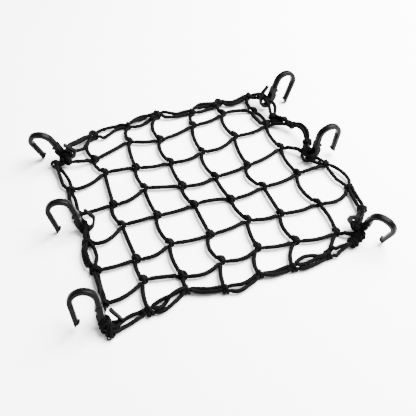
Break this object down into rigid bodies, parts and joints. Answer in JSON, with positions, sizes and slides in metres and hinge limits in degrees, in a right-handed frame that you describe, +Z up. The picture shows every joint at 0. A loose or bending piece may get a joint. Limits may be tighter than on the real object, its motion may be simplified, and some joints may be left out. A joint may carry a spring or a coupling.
{
  "type": "cargo net",
  "caption": "Elastic cargo net of knotted round cord in a doubled edge cord, with J-shaped moulded hooks clipped to its corners and sides, lying relaxed.",
  "frame": {"origin": "centre of the whole footprint, on the surface that the net lies on", "axes": "+X along the rows to the right edge, +Y to the back edge, +Z up"},
  "size_m": [0.4846, 0.4147, 0.0688],
  "materials": {
    "mesh_cord": "black braided sheath over a rubber core",
    "edge_cord": "black braided sheath over a rubber core",
    "hook_plastic": "black moulded nylon with a soft sheen"
  },
  "bodies": {
    "root": {"mesh_net": "mesh_cord", "edge_cord": "edge_cord", "hook_back_left": "hook_plastic", "hook_back_right": "hook_plastic", "hook_mid_right": "hook_plastic", "hook_front_right": "hook_plastic", "hook_front_left": "hook_plastic", "hook_mid_left": "hook_plastic"}
  },
  "joints": []
}
